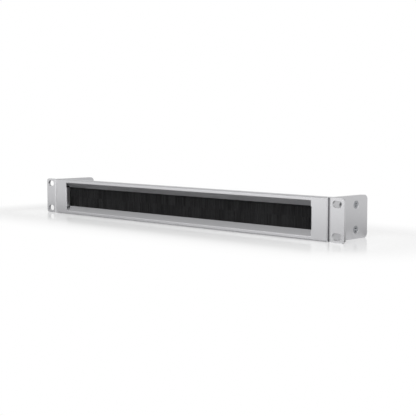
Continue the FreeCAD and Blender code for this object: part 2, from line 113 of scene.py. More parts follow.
class BristleSettings(bpy.types.PropertyGroup):
    filament: bpy.props.FloatProperty(
        name="Filament", description="Thickness of one nylon filament",
        subtype="DISTANCE", unit="LENGTH", default=0.3 * MM)
    spacing: bpy.props.FloatProperty(
        name="Spacing", description="Distance from one filament of a layer to the next",
        subtype="DISTANCE", unit="LENGTH", default=0.34 * MM)
    trim_error: bpy.props.FloatProperty(
        name="Trim", description="How far the tips differ in length",
        subtype="DISTANCE", unit="LENGTH", default=0.12 * MM)
    meeting: bpy.props.FloatProperty(
        name="Meeting", description="How far the tips of one row reach in between the other's",
        subtype="DISTANCE", unit="LENGTH", default=0.2 * MM)
    clump: bpy.props.FloatProperty(
        name="Clump", description="Usual width of a clump of filaments between two partings",
        subtype="DISTANCE", unit="LENGTH", default=6 * MM)
    parting: bpy.props.FloatProperty(
        name="Parting", description="Widest gap between two clumps at the tips",
        subtype="DISTANCE", unit="LENGTH", default=0.5 * MM)
    colour: bpy.props.FloatVectorProperty(
        name="Nylon colour", description="Colour of the filaments",
        subtype="COLOR", min=0, max=1, default=linear(BLACK_NYLON))


class FastenerSettings(bpy.types.PropertyGroup):
    colour: bpy.props.FloatVectorProperty(
        name="Plating colour", description="Zinc plating of the screws, nuts and wires",
        subtype="COLOR", min=0, max=1, default=linear(ZINC_PLATE))
    large_pitch: bpy.props.FloatProperty(
        name="Bracket screw pitch", description="Thread pitch of the bracket screws",
        subtype="DISTANCE", unit="LENGTH", default=0.7 * MM)
    small_pitch: bpy.props.FloatProperty(
        name="Rail screw pitch", description="Thread pitch of the rail screws",
        subtype="DISTANCE", unit="LENGTH", default=0.5 * MM)


class StageSettings(bpy.types.PropertyGroup):
    floor_size: bpy.props.FloatProperty(
        name="Floor size", description="Width and depth of the floor",
        subtype="DISTANCE", unit="LENGTH", default=24)
    fill: bpy.props.FloatProperty(
        name="Fill", description="Strength of the light that comes from all round",
        min=0, default=0.5)
    key_lamp: bpy.props.FloatProperty(
        name="Key lamp", description="Power of the lamp at the right front, in watts",
        unit="POWER", min=0, default=6)
    front_lamp: bpy.props.FloatProperty(
        name="Front lamp", description="Power of the low soft lamp at the left front, in watts",
        unit="POWER", min=0, default=1.7)
    top_lamp: bpy.props.FloatProperty(
        name="Top lamp", description="Power of the wide lamp overhead, in watts",
        unit="POWER", min=0, default=4)
    gloss_reach: bpy.props.FloatProperty(
        name="Gloss reach", description="How far from the panel the floor still mirrors it",
        subtype="DISTANCE", unit="LENGTH", default=0.11)
    gloss: bpy.props.FloatProperty(
        name="Floor gloss", description="Strength of the floor's mirror image beside the panel",
        subtype="FACTOR", min=0, max=1, default=0.95)


SETTINGS = {
    "brush_panel_paint": PaintSettings,
    "brush_panel_bristles": BristleSettings,
    "brush_panel_fasteners": FastenerSettings,
    "brush_panel_stage": StageSettings,
}


# Materials

# Sockets of a Mix node that mixes colours: its factor, both colours, and what it gives
FACTOR, FIRST, SECOND = 0, 6, 7
MIXED = 2

# Widths of the patterns. Flakes and plating crystals are finer than this in truth, some
# hundredths of a millimetre, and are drawn as coarse as they need to show close to
FLAKE_GRAIN = 0.35 * MM
FILM_CLOUD = 45 * MM
PLATING_GRAIN = 0.15 * MM
PLATING_CLOUD = 1.5 * MM
FILAMENT_GRAIN = 0.3 * MM

NYLON_IOR = 1.53


def new_material(name):
    """Empty node material of that name, and its node tree."""
    material = bpy.data.materials.new(name)
    material.use_nodes = True
    material.node_tree.nodes.clear()
    return material, material.node_tree


def add_node(tree, kind, inputs=None, **settings):
    """Add a node, set its properties, and give its inputs values or other nodes' outputs."""
    node = tree.nodes.new(kind)
    for name, value in settings.items():
        setattr(node, name, value)
    for name, value in (inputs or {}).items():
        if isinstance(value, bpy.types.NodeSocket):
            tree.links.new(value, node.inputs[name])
        else:
            node.inputs[name].default_value = value
    return node


def colour4(rgb):
    """The colour with full alpha, as a node's socket takes it."""
    return (*rgb, 1)


def shade(rgb, factor):
    """The colour made lighter or darker by a factor."""
    return colour4([min(1, c * factor) for c in rgb])


def powder_coat(name, paint, seed):
    """Polyester powder coat with aluminium flakes, sprayed on folded steel sheet and baked.

    The flakes mirror the room roughly, so each face takes the tone of what lies before it.
    The cured film lies in shallow waves and the flakes have a fine grain, so the broad
    faces look even and satin, with a soft sparkle close to.
    """
    material, tree = new_material(name)
    place = add_node(tree, "ShaderNodeTexCoord").outputs["Object"]
    shifted = add_node(tree, "ShaderNodeVectorMath", {0: place, 1: (seed, seed / 3, 0)}).outputs[0]
    grain = add_node(tree, "ShaderNodeTexNoise", {
        "Vector": shifted, "Scale": 1 / FLAKE_GRAIN, "Detail": 2.0})
    clouds = add_node(tree, "ShaderNodeTexNoise", {
        "Vector": shifted, "Scale": 1 / FILM_CLOUD, "Detail": 3.0})
    speckled = add_node(tree, "ShaderNodeMix", {
        FACTOR: grain.outputs["Fac"], FIRST: shade(paint.colour, 0.94),
        SECOND: shade(paint.colour, 1.06)}, data_type="RGBA")
    clouded = add_node(tree, "ShaderNodeMix", {
        FACTOR: clouds.outputs["Fac"], FIRST: shade((1, 1, 1), 0.97),
        SECOND: colour4((1, 1, 1))}, data_type="RGBA")
    base = add_node(tree, "ShaderNodeMix", {
        FACTOR: 1.0, FIRST: speckled.outputs[MIXED], SECOND: clouded.outputs[MIXED]},
        data_type="RGBA", blend_type="MULTIPLY")
    peel = add_node(tree, "ShaderNodeTexNoise", {
        "Vector": shifted, "Scale": 1 / paint.peel_size, "Detail": 1.5})
    bump = add_node(tree, "ShaderNodeBump", {
        "Height": peel.outputs["Fac"], "Strength": 0.35, "Distance": 0.03 * MM})
    shader = add_node(tree, "ShaderNodeBsdfPrincipled", {
        "Base Color": base.outputs[MIXED], "Metallic": paint.flake,
        "Roughness": paint.roughness, "Normal": bump.outputs["Normal"]})
    add_node(tree, "ShaderNodeOutputMaterial", {"Surface": shader.outputs["BSDF"]})
    return material


def drawn_metal(name, colour, roughness, line_width, depth, contrast, metallic=1.0):
    """Metal with fine lines along its length, as a die or a roller leaves them."""
    material, tree = new_material(name)
    place = add_node(tree, "ShaderNodeTexCoord").outputs["Object"]
    # The panel's length is X: each line is 250 times as long as it is wide
    along = add_node(tree, "ShaderNodeMapping", {"Vector": place, "Scale": (1 / 250, 1, 1)})
    lines = add_node(tree, "ShaderNodeTexNoise", {
        "Vector": along.outputs["Vector"], "Scale": 1 / line_width, "Detail": 3.0})
    base = add_node(tree, "ShaderNodeMix", {
        FACTOR: lines.outputs["Fac"], FIRST: shade(colour, 1 - contrast),
        SECOND: shade(colour, 1 + contrast)}, data_type="RGBA")
    rough = add_node(tree, "ShaderNodeMapRange", {
        "Value": lines.outputs["Fac"], "To Min": roughness - 0.06, "To Max": roughness + 0.08})
    bump = add_node(tree, "ShaderNodeBump", {
        "Height": lines.outputs["Fac"], "Strength": 0.5, "Distance": depth})
    shader = add_node(tree, "ShaderNodeBsdfPrincipled", {
        "Base Color": base.outputs[MIXED], "Metallic": metallic,
        "Roughness": rough.outputs["Result"], "Normal": bump.outputs["Normal"]})
    add_node(tree, "ShaderNodeOutputMaterial", {"Surface": shader.outputs["BSDF"]})
    return material


def zinc_plated_steel(colour):
    """Carbon steel, zinc plated and clear passivated: a neutral grey shine, faintly clouded."""
    material, tree = new_material("zinc_plated_steel")
    place = add_node(tree, "ShaderNodeTexCoord").outputs["Object"]
    clouds = add_node(tree, "ShaderNodeTexNoise", {
        "Vector": place, "Scale": 1 / PLATING_CLOUD, "Detail": 3.0})
    grain = add_node(tree, "ShaderNodeTexNoise", {"Vector": place, "Scale": 1 / PLATING_GRAIN})
    base = add_node(tree, "ShaderNodeMix", {
        FACTOR: clouds.outputs["Fac"], FIRST: shade(colour, 0.82),
        SECOND: shade(colour, 1.08)}, data_type="RGBA")
    rough = add_node(tree, "ShaderNodeMapRange", {
        "Value": clouds.outputs["Fac"], "To Min": 0.22, "To Max": 0.38})
    bump = add_node(tree, "ShaderNodeBump", {
        "Height": grain.outputs["Fac"], "Strength": 0.3, "Distance": 0.004 * MM})
    shader = add_node(tree, "ShaderNodeBsdfPrincipled", {
        "Base Color": base.outputs[MIXED], "Metallic": 1.0,
        "Roughness": rough.outputs["Result"], "Normal": bump.outputs["Normal"]})
    add_node(tree, "ShaderNodeOutputMaterial", {"Surface": shader.outputs["BSDF"]})
    return material


def nylon_filament(colour):
    """Black nylon 6 drawn into filaments: smooth and slightly shiny along each filament.

    The filaments differ a little in tone, by clump and one by one, so the brush looks
    streaked from root to tip.
    """
    material, tree = new_material("black_nylon_filament")
    tone = add_node(tree, "ShaderNodeAttribute", attribute_name="tone")
    base = add_node(tree, "ShaderNodeMix", {
        FACTOR: tone.outputs["Fac"], FIRST: shade(colour, 0.3), SECOND: shade(colour, 2.3)},
        data_type="RGBA")
    shader = add_node(tree, "ShaderNodeBsdfPrincipled", {
        "Base Color": base.outputs[MIXED], "Roughness": 0.55, "IOR": NYLON_IOR,
        "Specular IOR Level": 0.08})
    add_node(tree, "ShaderNodeOutputMaterial", {"Surface": shader.outputs["BSDF"]})
    return material


def packed_nylon():
    """The same nylon where the filaments lie pressed together.

    Little light gets in between them: painted shade darkens its colour below the loose nylon's, with
    a fine grain from root to tip.
    """
    material, tree = new_material("packed_nylon_painted_shade")
    place = add_node(tree, "ShaderNodeTexCoord").outputs["Object"]
    # The filaments run up and down: the grain is 50 times as long as it is wide
    along = add_node(tree, "ShaderNodeMapping", {"Vector": place, "Scale": (1, 1, 1 / 50)})
    grain = add_node(tree, "ShaderNodeTexNoise", {
        "Vector": along.outputs["Vector"], "Scale": 1 / FILAMENT_GRAIN})
    # The dark colour is painted shade between the pressed filaments; the grain runs along them
    base = add_node(tree, "ShaderNodeMix", {
        FACTOR: grain.outputs["Fac"], FIRST: shade(linear(PACKED_NYLON_WITH_SHADE), 0.5),
        SECOND: shade(linear(PACKED_NYLON_WITH_SHADE), 1.6)}, data_type="RGBA")
    bump = add_node(tree, "ShaderNodeBump", {
        "Height": grain.outputs["Fac"], "Strength": 0.8, "Distance": 0.1 * MM})
    shader = add_node(tree, "ShaderNodeBsdfPrincipled", {
        "Base Color": base.outputs[MIXED], "Roughness": 0.6, "IOR": NYLON_IOR,
        "Specular IOR Level": 0.08, "Normal": bump.outputs["Normal"]})
    add_node(tree, "ShaderNodeOutputMaterial", {"Surface": shader.outputs["BSDF"]})
    return material


# Pieces

# Seeds of what is left to chance
BRUSH_SEEDS = {"lower": 41, "upper": 17}
BRACKET_SCREW_SEED = 5
RAIL_SCREW_SEED = 9

# Loose filaments: two layers at the front of the row and two at its rear, this far apart.
# Each filament is a prism with rings at these shares of its length, and starts this deep
# in the channel's mouth
LAYER_PITCH = 0.26 * MM
FILAMENT_SIDES = 4
FILAMENT_RINGS = (0.0, 0.35, 0.7, 1.0)
ROOT_DEPTH = 1.2 * MM
# Share of their distance from the row's middle that the layers close in by at the tips
LAYER_CLOSING = 0.05
# What a clump takes by chance: width by the usual one, pull to its middle, lean and tone
CLUMP_WIDTHS = (0.45, 1.6)
CLUMP_PULLS = (0.25, 1)
CLUMP_LEAN = 0.3 * MM
CLUMP_TONES = (0.38, 0.62)
# What a filament takes by chance: its place in its share of the row, and its thickness by
# the usual one
FILAMENT_PLACES = (0.2, 0.8)
FILAMENT_WIDTHS = (0.85, 1.1)
# How far filaments stray at root and tip, how far they bow, and how much their tones
# differ, as standard deviations
ROOT_STRAY_Y = 0.04 * MM
TIP_STRAY_X, TIP_STRAY_Y = 0.12 * MM, 0.06 * MM
BOW_X, BOW_Y = 0.1 * MM, 0.06 * MM
TONE_STRAY = 0.17

# Packed filaments: bend over the wire, gaps to the layers and to the channel's ends
CORE_BEND = 1.2 * MM
CORE_INSET = 0.5 * MM
CORE_END_GAP = 0.15 * MM
CORE_BEND_STEPS = 5
WIRE_SIDES = 16

# Screws: M4 for the ears and M3 for the rails, as radii of shank and driver recess
BRACKET_SCREW = {"shank": 2.0 * MM, "recess": 2.2 * MM}
RAIL_SCREW = {"shank": 1.5 * MM, "recess": 1.45 * MM}
RAIL_SCREW_COUNT = 5
SCREW_SIDES = 32
SCREW_RIM = 0.12 * MM
NECK_FILLET = 0.25 * MM
# Depth of a metric thread by its pitch, and where the thread ends before the shank's end
THREAD_DEPTH = 0.54
THREAD_END = 0.6 * MM
SHANK_CHAMFER = 0.45 * MM
# Edges of a screw that are sharper than this stay crisp
CREASE = math.radians(32)


def dress(node_name, material):
    """Give a CAD node its finish."""
    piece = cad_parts[node_name]
    if not piece.material_slots:
        piece.data.materials.append(material)
    for slot in piece.material_slots:
        slot.material = material


def add_piece(name, mesh, material, node, smooth=False):
    """Put a new mesh into the scene as a piece of the panel, in the place of a CAD node."""
    piece = bpy.data.objects.new(name, mesh)
    bpy.context.scene.collection.objects.link(piece)
    mesh.materials.clear()
    mesh.materials.append(material)
    if smooth:
        mesh.shade_smooth()
    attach(piece, BODY)
    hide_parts(node)


def mesh_from(name, points, faces):
    """Mesh of these points and faces."""
    mesh = bpy.data.meshes.new(name)
    mesh.from_pydata(points, [], faces)
    mesh.validate()
    mesh.update()
    return mesh


def clumps_along(rng, start, end, usual):
    """Clumps that divide the brush: both edges, pull to the middle, lean and tone of each."""
    edges = [start]
    while edges[-1] < end:
        edges.append(edges[-1] + usual * rng.uniform(*CLUMP_WIDTHS))
    edges[-1] = end
    return [(left, right, rng.uniform(*CLUMP_PULLS), rng.uniform(-CLUMP_LEAN, CLUMP_LEAN),
             rng.uniform(*CLUMP_TONES)) for left, right in zip(edges, edges[1:])]


def filament_faces(count, direction):
    """Sides and tips of that many filaments, whose points follow each other ring by ring.

    Each flat tip has corners of its own, so the shading doesn't round it.
    """
    sides, rings = FILAMENT_SIDES, len(FILAMENT_RINGS)
    faces = []
    for filament in range(count):
        base = filament * (rings + 1) * sides
        for ring in range(rings - 1):
            for side in range(sides):
                a = base + ring * sides + side
                b = base + ring * sides + (side + 1) % sides
                faces.append((a, b, b + sides, a + sides))
        faces.append(tuple(base + rings * sides + side for side in range(sides)))
    return faces if direction > 0 else [face[::-1] for face in faces]


def filament_row(name, box_node, mouth, direction, seed, bristles):
    """One row of loose filaments, from inside the channel's mouth to the trimmed tips.

    Each filament is a thin prism with a slight bend. Those of a clump lean towards each
    other, which opens the partings between the clumps. A direction of 1 points up.
    """
    rng = random.Random(seed)
    low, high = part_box(box_node)
    width = high.x - low.x
    tip_z = (CAD_BOX[0].z + CAD_BOX[1].z) / 2 + direction * bristles.meeting
    root_z = mouth - direction * ROOT_DEPTH
    radius = bristles.filament / 2
    front, rear = low.y + radius, high.y - radius
    clumps = clumps_along(rng, low.x, high.x, bristles.clump)
    count = int(width / bristles.spacing)
    points = []
    tones = []
    for layer in (front, front + LAYER_PITCH, rear - LAYER_PITCH, rear):
        number = 0
        for i in range(count):
            place = i + rng.uniform(*FILAMENT_PLACES)
            x = low.x + radius + (width - 2 * radius) * place / count
            while number < len(clumps) - 1 and x > clumps[number][1]:
                number += 1
            start, end, pull, lean, tone = clumps[number]
            across = (x - (start + end) / 2) / ((end - start) / 2)
            tip_x = x - across * abs(across) * pull * bristles.parting / 2 + lean
            tip_x += rng.gauss(0, TIP_STRAY_X)
            closing = (layer - (front + rear) / 2) * LAYER_CLOSING
            tip_y = layer + rng.gauss(0, TIP_STRAY_Y) - closing
            y = min(max(layer + rng.gauss(0, ROOT_STRAY_Y), front), rear)
            length = abs(tip_z - root_z) + rng.gauss(0, 1) * bristles.trim_error
            bow_x = rng.gauss(0, BOW_X)
            bow_y = rng.gauss(0, BOW_Y)
            turn = rng.uniform(0, math.pi / 2)
            own_radius = radius * rng.uniform(*FILAMENT_WIDTHS)
            for t in FILAMENT_RINGS:
                # It bends as a bar that is held at its root, and bows out most half way
                bend = t * t * (1.5 - 0.5 * t)
                bow = 4 * t * (1 - t)
                centre_x = x + (tip_x - x) * bend + bow * bow_x
                centre_y = y + (tip_y - y) * bend + bow * bow_y
                z = root_z + direction * length * t
                for side in range(FILAMENT_SIDES):
                    angle = turn + math.tau * side / FILAMENT_SIDES
                    points.append((centre_x + own_radius * math.cos(angle),
                                   centre_y + own_radius * math.sin(angle), z))
            points += points[-FILAMENT_SIDES:]
            tones.append(min(1, max(0, tone + rng.gauss(0, TONE_STRAY))))
    mesh = bpy.data.meshes.new(name)
    mesh.from_pydata(points, [], filament_faces(len(tones), direction))
    attribute = mesh.attributes.new("tone", "FLOAT", "POINT")
    attribute.data.foreach_set(
        "value", np.repeat(np.array(tones, np.float32), len(points) // len(tones)))
    mesh.update()
    return mesh


def packed_core(name, box_node, wire_node, mouth, direction):
    """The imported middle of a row: filaments folded round the wire, and deep between the layers."""
    low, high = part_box(box_node)
    wire_low, wire_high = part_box(wire_node)
    wire_y = (wire_low.y + wire_high.y) / 2
    wire_z = (wire_low.z + wire_high.z) / 2
    wire_radius = (wire_high.z - wire_low.z) / 2
    root, tip = (low.z, high.z) if direction > 0 else (high.z, low.z)
    half = (high.y - low.y) / 2
    shoulder = root + direction * CORE_BEND
    # Section from the mouth up one side and over the wire, then its mirror image
    section = [(half, mouth), (half, shoulder)]
    for step in range(1, CORE_BEND_STEPS + 1):
        angle = math.pi / 2 * step / CORE_BEND_STEPS
        section.append((half - CORE_BEND + CORE_BEND * math.cos(angle),
                        shoulder - direction * CORE_BEND * math.sin(angle)))
    section += [(-y, z) for y, z in reversed(section)]
    inner = half - CORE_INSET
    section += [(-inner, mouth), (-inner, tip), (inner, tip), (inner, mouth)]
    bore = [(wire_radius * math.cos(math.tau * k / WIRE_SIDES),
             wire_z + wire_radius * math.sin(math.tau * k / WIRE_SIDES))
            for k in range(WIRE_SIDES)]
    made = bmesh.new()
    ends = []
    for x in (low.x + CORE_END_GAP, high.x - CORE_END_GAP):
        loops = [[made.verts.new((x, wire_y + y, z)) for y, z in outline]
                 for outline in (section, bore)]
        ends.append(loops)
        edges = [made.edges.new(pair) for loop in loops for pair in zip(loop, loop[1:] + loop[:1])]
        bmesh.ops.triangle_fill(made, use_beauty=True, use_dissolve=False, edges=edges)
    for near, far in zip(*ends):
        for k in range(len(near)):
            n = (k + 1) % len(near)
            made.faces.new((near[k], near[n], far[n], far[k]))
    bmesh.ops.recalc_face_normals(made, faces=made.faces)
    mesh = bpy.data.meshes.new(name)
    made.to_mesh(mesh)
    made.free()
    return mesh


def threaded_blank(head, shank, length, pitch):
    """Countersunk screw with its thread, its axis along Z and its flat head up, at height 0."""
    depth = THREAD_DEPTH * pitch
    neck = -(head - shank)
    # Height, radius, and how far the thread stands out of it
    rows = [(0, head - SCREW_RIM, 0), (-SCREW_RIM * 0.7, head, 0), (-SCREW_RIM * 1.6, head, 0),
            (neck + NECK_FILLET, shank + NECK_FILLET, 0), (neck, shank - depth * 0.6, 0)]
    z = neck - pitch / 4
    while z > -length + THREAD_END:
        rows.append((z, shank - depth, depth))
        z -= pitch / 4
    rows += [(-length + SHANK_CHAMFER, shank - depth, 0.5 * depth),
             (-length, shank - 2 * depth, 0)]
    points = [(0, 0, 0)]
    for height, radius, wave in rows:
        for k in range(SCREW_SIDES):
            turn = k / SCREW_SIDES
            phase = (height / pitch + turn) % 1
            r = radius + wave * (1 - abs(2 * phase - 1))
            points.append((r * math.cos(math.tau * turn), r * math.sin(math.tau * turn), height))
    points.append((0, 0, -length))
    faces = [(0, 1 + k, 1 + (k + 1) % SCREW_SIDES) for k in range(SCREW_SIDES)]
    for row in range(len(rows) - 1):
        for k in range(SCREW_SIDES):
            a = 1 + row * SCREW_SIDES + k
            b = 1 + row * SCREW_SIDES + (k + 1) % SCREW_SIDES
            faces.append((a, a + SCREW_SIDES, b + SCREW_SIDES, b))
    last = 1 + (len(rows) - 1) * SCREW_SIDES
    end = len(points) - 1
    faces += [(end, last + (k + 1) % SCREW_SIDES, last + k) for k in range(SCREW_SIDES)]
    return mesh_from("blank", points, faces)


def recess_cutter(reach):
    """Cross-shaped driver tip: four wings that narrow and run out towards a blunt point."""
    # Reach and half width of the wings by the recess's reach, and their height, from above
    # the head down into it
    sections = [(1.04, 0.25, 0.2 * MM), (1.0, 0.235, 0), (0.62, 0.2, -reach * 0.75),
                (0.3, 0.15, -reach * 1.05)]
    points = []
    for arm, side, z in sections:
        heel = reach * side * 1.45
        quarter = [(reach * arm, -reach * side), (reach * arm, reach * side), (heel, heel)]
        for k in range(4):
            turn = Matrix.Rotation(k * math.pi / 2, 2)
            points += [(*(turn @ Vector(corner)), z) for corner in quarter]
    count = len(points) // len(sections)
    faces = [tuple(range(count)), tuple(reversed(range(len(points) - count, len(points))))]
    for row in range(len(sections) - 1):
        for k in range(count):
            a = row * count + k
            b = row * count + (k + 1) % count
            faces.append((a, a + count, b + count, b))
    mesh = mesh_from("cutter", points, faces)
    made = bmesh.new()
    made.from_mesh(mesh)
    bmesh.ops.recalc_face_normals(made, faces=made.faces)
    made.to_mesh(mesh)
    made.free()
    return mesh


def screw_mesh(name, head, shank, recess, length, pitch):
    """Threaded countersunk screw with its driver recess cut in."""
    blank = bpy.data.objects.new("blank", threaded_blank(head, shank, length, pitch))
    cutter = bpy.data.objects.new("cutter", recess_cutter(recess))
    for helper in (blank, cutter):
        bpy.context.scene.collection.objects.link(helper)
    cut = blank.modifiers.new("recess", "BOOLEAN")
    cut.object = cutter
    cut.operation = "DIFFERENCE"
    cut.solver = "EXACT"
    graph = bpy.context.evaluated_depsgraph_get()
    mesh = bpy.data.meshes.new_from_object(blank.evaluated_get(graph))
    mesh.name = name
    for helper in (blank, cutter):
        data = helper.data
        bpy.data.objects.remove(helper)
        bpy.data.meshes.remove(data)
    return mesh


def soften(mesh):
    """Smooth shading, with every edge sharper than the crease angle kept crisp."""
    mesh.shade_smooth()
    made = bmesh.new()
    made.from_mesh(mesh)
    for edge in made.edges:
        edge.smooth = len(edge.link_faces) == 2 and edge.calc_face_angle(0) < CREASE
    made.to_mesh(mesh)
    made.free()


def add_screw(name, node, mesh, seat, outward, rng, plated):
    """Set a screw's head at its seat, facing outward, with its cross turned by chance."""
    soften(mesh)
    turn = Matrix.Rotation(rng.uniform(0, math.pi / 2), 4, "Z")
    mesh.transform(Matrix.Translation(seat) @ outward @ turn)
    add_piece(name, mesh, plated, node)


class BrushPanelOperator(bpy.types.Operator):
    """Base of this panel's operators."""
    bl_options = {"REGISTER", "UNDO"}


class DressFrame(BrushPanelOperator):
    """Powder coat the folded front frame"""
    bl_idname = "brush_panel.frame"
    bl_label = "Front frame"

    def execute(self, context):
        paint = powder_coat("powder_coated_steel_frame", context.scene.brush_panel_paint, 0.0)
        dress("front_frame", paint)
        return {"FINISHED"}


class DressEars(BrushPanelOperator):
    """Powder coat the two rack ears"""
    bl_idname = "brush_panel.ears"
    bl_label = "Rack ears"

    def execute(self, context):
        paint = powder_coat("powder_coated_steel_ears", context.scene.brush_panel_paint, 7.0)
        for side in SIDES:
            dress(f"{side}_bracket", paint)
        return {"FINISHED"}


class DressRails(BrushPanelOperator):
    """Finish the brush rails and the folded channels in them"""
    bl_idname = "brush_panel.rails"
    bl_label = "Rails and channels"

    def execute(self, context):
        # Extruded, etched and anodised: the etched skin scatters light, so it looks pale and
        # matt, with the die's fine lines along it
        extruded = drawn_metal(
            "etched_anodised_aluminium", linear(ANODISED_SILVER), roughness=0.5,
            line_width=0.4 * MM, depth=0.012 * MM, contrast=0.05, metallic=0.1)
        # Cold rolled and folded: brighter, with the rolling grain along it
        rolled = drawn_metal(
            "rolled_aluminium_strip", linear(ROLLED_ALUMINIUM), roughness=0.3,
            line_width=0.15 * MM, depth=0.006 * MM, contrast=0.08)
        for level in LEVELS:
            dress(f"{level}_brush_rail", extruded)
            dress(f"{level}_brush_channel", rolled)
        return {"FINISHED"}


class MakeBristles(BrushPanelOperator):
    """Make both rows of filaments, and finish the wires that hold them"""
    bl_idname = "brush_panel.bristles"
    bl_label = "Bristles"

    def execute(self, context):
        bristles = context.scene.brush_panel_bristles
        loose = nylon_filament(bristles.colour)
        packed = packed_nylon()
        plated = zinc_plated_steel(context.scene.brush_panel_fasteners.colour)
        for level in LEVELS:
            node = f"{level}_bristles"
            wire = f"{level}_core_wire"
            channel_low, channel_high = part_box(f"{level}_brush_channel")
            direction, mouth = (-1, channel_low.z) if level == "upper" else (1, channel_high.z)
            row = filament_row(f"{level}_filaments", node, mouth, direction,
                               BRUSH_SEEDS[level], bristles)
            add_piece(f"{level}_filaments", row, loose, node, smooth=True)
            core = packed_core(f"{level}_filament_core", node, wire, mouth, direction)
            add_piece(f"{level}_filament_core", core, packed, node)
            dress(wire, plated)
        return {"FINISHED"}


class MakeBracketScrews(BrushPanelOperator):
    """Make the four screws that hold the ears, and finish their nuts"""
    bl_idname = "brush_panel.bracket_screws"
    bl_label = "Bracket screws and nuts"

    def execute(self, context):
        fasteners = context.scene.brush_panel_fasteners
        plated = zinc_plated_steel(fasteners.colour)
        rng = random.Random(BRACKET_SCREW_SEED)
        for side in SIDES:
            for level in LEVELS:
                node = f"{side}_{level}_bracket_screw"
                name = f"{node}_detail"
                low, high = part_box(node)
                sign, face = (1, high.x) if side == "right" else (-1, low.x)
                centre = (low + high) / 2
                mesh = screw_mesh(name, (high.y - low.y) / 2, **BRACKET_SCREW,
                                  length=high.x - low.x, pitch=fasteners.large_pitch)
                outward = Matrix.Rotation(sign * math.pi / 2, 4, "Y")
                add_screw(name, node, mesh, (face, centre.y, centre.z), outward, rng, plated)
                dress(f"{side}_{level}_clinch_nut", plated)
        return {"FINISHED"}


class MakeRailScrews(BrushPanelOperator):
    """Make the rows of small screws that hold the brush rails"""
    bl_idname = "brush_panel.rail_screws"
    bl_label = "Rail screws"

    def execute(self, context):
        fasteners = context.scene.brush_panel_fasteners
        plated = zinc_plated_steel(fasteners.colour)
        rng = random.Random(RAIL_SCREW_SEED)
        for level in LEVELS:
            node = f"{level}_rail_screws"
            low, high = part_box(node)
            head = (high.y - low.y) / 2
            half_turns, face = (0, high.z) if level == "upper" else (1, low.z)
            outward = Matrix.Rotation(half_turns * math.pi, 4, "X")
            for number in range(RAIL_SCREW_COUNT):
                name = f"{level}_rail_screw_{number + 1}"
                x = low.x + head + (high.x - low.x - 2 * head) * number / (RAIL_SCREW_COUNT - 1)
                mesh = screw_mesh(name, head, **RAIL_SCREW,
                                  length=high.z - low.z, pitch=fasteners.small_pitch)
                add_screw(name, node, mesh, (x, (low.y + high.y) / 2, face), outward, rng, plated)
        return {"FINISHED"}


# Stage

# Metal mirrors white at eye level and a pale grey ceiling overhead. It sets in between
# these heights of the view's direction, where 1 is straight up
CEILING_TONE = 0.6
CEILING_EDGE = (0.1, 0.8)

ACRYLIC_IOR = 1.45
# Fades, by distance from the panel: of the white strip at its foot, of the dark part
# beyond that strip, and of the floor into the white background
FOOT_FADE = (0.5 * MM, 2 * MM)
DARK_FADE = (45 * MM, 100 * MM)
WHITE_FADE = (0, 140 * MM)
# Share of plain white in all of the floor that the camera sees straight
FLOOR_LIFT = 0.3

# The photo's camera, worked out from the panel's edges and slots. The lens is in millimetres
CAMERA_PLACE = (0.804218, -0.775154, 0.115768)
CAMERA_TURN = (1.4833478, 0, 0.7874506)
CAMERA_LENS = 83.961
CAMERA_SENSOR = 36


def seen_rays(tree):
    """1 for what the camera sees, straight or mirrored or through glass, and 0 for fill light."""
    path = add_node(tree, "ShaderNodeLightPath")
    straight_or_mirrored = add_node(tree, "ShaderNodeMath", {
        0: path.outputs["Is Camera Ray"], 1: path.outputs["Is Glossy Ray"]}, operation="MAXIMUM")
    return add_node(tree, "ShaderNodeMath", {
        0: straight_or_mirrored.outputs[0], 1: path.outputs["Is Transmission Ray"]},
        operation="MAXIMUM").outputs[0]


def white_surround(fill_strength):
    """White world: the fill light is dimmer than the white that is seen and mirrored."""
    world = bpy.data.worlds.new("white_surround")
    world.use_nodes = True
    tree = world.node_tree
    tree.nodes.clear()
    colour = colour4(linear(STUDIO_WHITE))
    fill = add_node(tree, "ShaderNodeBackground", {"Color": colour, "Strength": fill_strength})
    direction = add_node(tree, "ShaderNodeSeparateXYZ", {
        "Vector": add_node(tree, "ShaderNodeTexCoord").outputs["Generated"]})
    ceiling = add_node(tree, "ShaderNodeMapRange", {
        "Value": direction.outputs["Z"], "From Min": CEILING_EDGE[0],
        "From Max": CEILING_EDGE[1], "To Min": 1.0, "To Max": CEILING_TONE},
        interpolation_type="SMOOTHSTEP")
    strength = add_node(tree, "ShaderNodeMath", {
        0: ceiling.outputs["Result"],
        1: add_node(tree, "ShaderNodeLightPath").outputs["Is Camera Ray"]}, operation="MAXIMUM")
    white = add_node(tree, "ShaderNodeBackground", {
        "Color": colour, "Strength": strength.outputs[0]})
    mixed = add_node(tree, "ShaderNodeMixShader", {
        0: seen_rays(tree), 1: fill.outputs[0], 2: white.outputs[0]})
    add_node(tree, "ShaderNodeOutputWorld", {"Surface": mixed.outputs[0]})
    return world


